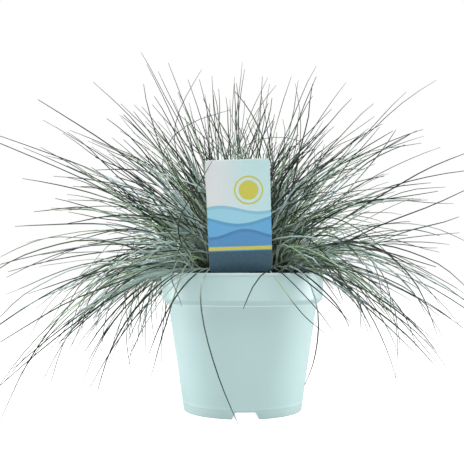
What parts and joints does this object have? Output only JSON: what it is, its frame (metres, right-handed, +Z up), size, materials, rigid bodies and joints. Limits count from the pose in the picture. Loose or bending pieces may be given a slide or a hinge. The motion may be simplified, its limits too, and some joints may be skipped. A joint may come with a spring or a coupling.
{
  "type": "potted blue fescue clump",
  "caption": "Evergreen clump of fine blue-grey needle grass arching from a round tapered nursery pot with a deep collar and notched foot, with a plain upright plant label.",
  "frame": {"origin": "on the pot's axis, at the level that its foot stands on", "axes": "+Z up along the pot's axis, the label faces -Y, +X to the right when facing the label"},
  "size_m": [0.5497, 0.4404, 0.3756],
  "materials": {
    "pot": "pale aqua moulded plastic, satin",
    "potting_soil": "damp dark peat and bark, matt",
    "plant_label": null,
    "crown": "dry straw-coloured leaf sheaths, matt",
    "leaf": "glaucous blue-grey leaf with a dull waxy bloom"
  },
  "bodies": {
    "root": {"pot": "pot", "potting_soil": "potting_soil", "plant_label": "plant_label", "crown": "crown", "stray_leaf_1": "leaf", "stray_leaf_2": "leaf", "stray_leaf_3": "leaf", "stray_leaf_4": "leaf", "stray_leaf_5": "leaf", "stray_leaf_6": "leaf", "tiller_01": "leaf", "tiller_02": "leaf", "tiller_03": "leaf", "tiller_04": "leaf", "tiller_05": "leaf", "tiller_06": "leaf", "tiller_07": "leaf", "tiller_08": "leaf", "tiller_09": "leaf", "tiller_10": "leaf", "tiller_11": "leaf", "tiller_12": "leaf", "tiller_13": "leaf", "tiller_14": "leaf", "tiller_15": "leaf", "tiller_16": "leaf", "tiller_17": "leaf", "tiller_18": "leaf", "tiller_19": "leaf", "tiller_20": "leaf", "tiller_21": "leaf", "tiller_22": "leaf", "tiller_23": "leaf", "tiller_24": "leaf", "tiller_25": "leaf", "tiller_26": "leaf", "tiller_27": "leaf", "tiller_28": "leaf", "tiller_29": "leaf", "tiller_30": "leaf", "tiller_31": "leaf", "tiller_32": "leaf", "tiller_33": "leaf", "tiller_34": "leaf", "tiller_35": "leaf", "tiller_36": "leaf", "tiller_37": "leaf", "tiller_38": "leaf", "tiller_39": "leaf", "tiller_40": "leaf", "tiller_41": "leaf", "tiller_42": "leaf", "tiller_43": "leaf", "tiller_44": "leaf", "tiller_45": "leaf", "tiller_46": "leaf", "tiller_47": "leaf", "tiller_48": "leaf"}
  },
  "joints": []
}
